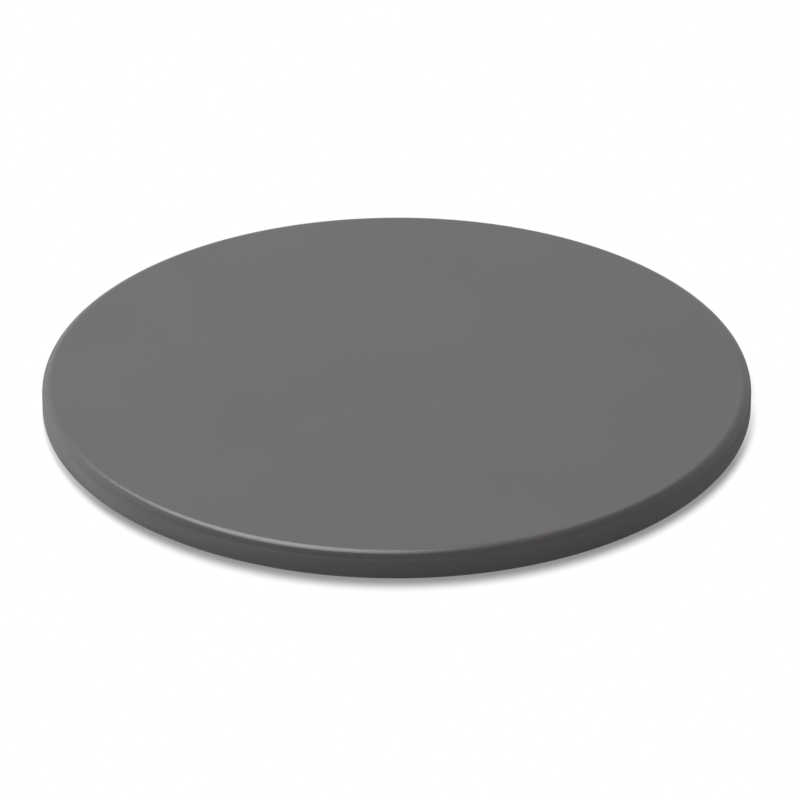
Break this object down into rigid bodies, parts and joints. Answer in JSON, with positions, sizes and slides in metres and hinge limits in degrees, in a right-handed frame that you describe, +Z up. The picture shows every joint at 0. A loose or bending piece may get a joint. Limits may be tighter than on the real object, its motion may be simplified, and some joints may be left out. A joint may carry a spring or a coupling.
{
  "type": "pizza stone",
  "caption": "Round glazed pizza stone: a flat cordierite disc with rounded edges, glazed on top and round the rim, with a bare foot underneath, for baking pizza and bread.",
  "frame": {"origin": "centre of the bare foot's flat face, on the surface that the stone rests on", "axes": "+Z up through the middle of the disc, square to its baking face; the disc is round, so X and Y are any two square directions"},
  "size_m": [0.3599, 0.36, 0.015],
  "materials": {
    "cordierite": "matte",
    "satin_glaze": "satin"
  },
  "bodies": {
    "root": {"stone_body": "cordierite", "glaze_coat": "satin_glaze"}
  },
  "joints": []
}
